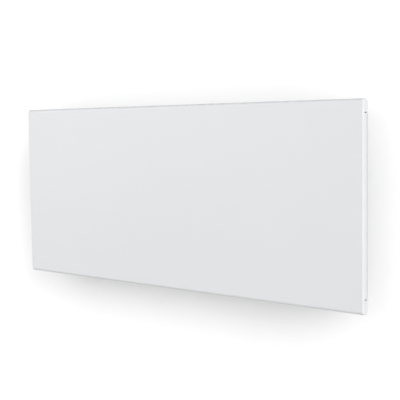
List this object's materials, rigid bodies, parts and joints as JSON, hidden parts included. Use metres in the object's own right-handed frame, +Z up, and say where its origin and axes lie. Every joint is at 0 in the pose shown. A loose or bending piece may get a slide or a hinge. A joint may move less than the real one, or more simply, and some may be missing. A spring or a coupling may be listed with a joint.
{
  "type": "electric panel heater",
  "caption": "Slim electric wall heater: plain rolled-edge front panel on a grilled rear casing, hung on a wall bracket it tips forward from.",
  "frame": {"origin": "centre of the four wall screws, on the wall plane", "axes": "+X to the right as seen from the room, along the length; +Y into the wall, along the wall screws; +Z up"},
  "size_m": [0.812, 0.085, 0.34],
  "materials": {
    "panel_paint": "smooth satin powder coat, very slightly cool white",
    "casing_paint": "fine-textured powder coat, white",
    "grille_paint": "matt moulded grille, heat-stable white",
    "bracket_steel": "zinc-plated pressed steel",
    "galvanised_sheet": "galvanised sheet with a faint spangle",
    "spring_steel": "blued spring steel strip",
    "fastener_steel": "bright zinc-plated fasteners",
    "rubber_grey": "matt moulded rubber",
    "rubber_black": "matt moulded rubber",
    "element_aluminium": "extruded aluminium, mill finish",
    "bright_aluminium": "bright rolled aluminium",
    "rod_steel": "heat-darkened steel sheath",
    "white_ceramic": "unglazed ceramic",
    "white_moulding": "fine-grained moulded housing",
    "display_gloss": "smoked gloss window",
    "dark_moulding": "black moulded plastic",
    "natural_moulding": "natural nylon",
    "gland_grey": "light grey nylon",
    "button_grey": "soft grey keycap",
    "rocker_black": "gloss black rocker",
    "board_green": "solder mask",
    "transformer_yellow": "wound core with yellow tape",
    "capacitor_sleeve": "shrink sleeve",
    "relay_blue": "moulded relay case",
    "brass_terminal": "turned brass",
    "wire_brown": "brown wire insulation",
    "wire_silicone": "heat-resistant silicone sleeve",
    "wire_green": "green and yellow insulation",
    "wire_grey": "grey lead"
  },
  "bodies": {
    "wall_bracket": {"upright_left": "bracket_steel", "upright_right": "bracket_steel", "cross_rail": "bracket_steel", "rail_rivets": "fastener_steel", "pivot_pins": "fastener_steel", "latch_spring_left": "spring_steel", "latch_spring_right": "spring_steel", "spring_rivets": "fastener_steel"},
    "heater": {"front_panel": "panel_paint", "panel_stiffeners": "galvanised_sheet", "back_plate": "casing_paint", "plate_screws": "fastener_steel", "rear_casing": "casing_paint", "casing_screws": "fastener_steel", "casing_rivets": "fastener_steel", "wall_buffers": "rubber_grey", "outlet_grille": "grille_paint", "hanger_left": "bracket_steel", "hanger_right": "bracket_steel", "tongue_left": "bracket_steel", "tongue_right": "bracket_steel", "element_fins": "element_aluminium", "heating_rod": "rod_steel", "ceramic_bushes": "white_ceramic", "element_bracket": "galvanised_sheet", "heat_shield": "bright_aluminium", "partition": "galvanised_sheet", "wire_grommet": "rubber_black", "cutout_bracket": "galvanised_sheet", "thermal_cutout": "dark_moulding", "control_housing": "white_moulding", "control_bezel": "white_moulding", "display_window": "display_gloss", "display_module": "dark_moulding", "control_board": "board_green", "board_screws": "fastener_steel", "tact_switches": "dark_moulding", "transformer": "transformer_yellow", "capacitor": "capacitor_sleeve", "relay": "relay_blue", "board_connector": "natural_moulding", "rocker_housing": "dark_moulding", "cable_gland": "gland_grey", "gland_nut": "gland_grey", "terminal_block": "natural_moulding", "terminal_screws": "brass_terminal", "block_screws": "fastener_steel", "earth_stud": "brass_terminal", "earth_nut": "brass_terminal", "sensor_holder": "gland_grey", "room_sensor": "dark_moulding", "power_wires": "wire_brown", "cutout_wires": "wire_silicone", "earth_wire": "wire_green", "sensor_lead": "wire_grey"},
    "minus_key": {"button_minus": "button_grey"},
    "plus_key": {"button_plus": "button_grey"},
    "mode_key": {"button_mode": "button_grey"},
    "switch_rocker": {"power_rocker": "rocker_black"}
  },
  "joints": [
    {"name": "heater_tilt", "type": "hinge", "parent": "wall_bracket", "child": "heater", "pos_m": [0, -0.009, -0.1], "axis": [1, 0, 0], "range_deg": [0, 18]},
    {"name": "minus_press", "type": "slide", "parent": "heater", "child": "minus_key", "axis": [0, 0, -1], "range_m": [0, 0.0006], "stiffness_N_per_m": 400, "springref_m": -0.0006},
    {"name": "plus_press", "type": "slide", "parent": "heater", "child": "plus_key", "axis": [0, 0, -1], "range_m": [0, 0.0006], "stiffness_N_per_m": 400, "springref_m": -0.0006},
    {"name": "mode_press", "type": "slide", "parent": "heater", "child": "mode_key", "axis": [0, 0, -1], "range_m": [0, 0.0006], "stiffness_N_per_m": 400, "springref_m": -0.0006},
    {"name": "rocker_flip", "type": "hinge", "parent": "heater", "child": "switch_rocker", "pos_m": [0.3575, -0.0446, 0.04], "axis": [0, -1, 0], "range_deg": [0, 20]}
  ]
}
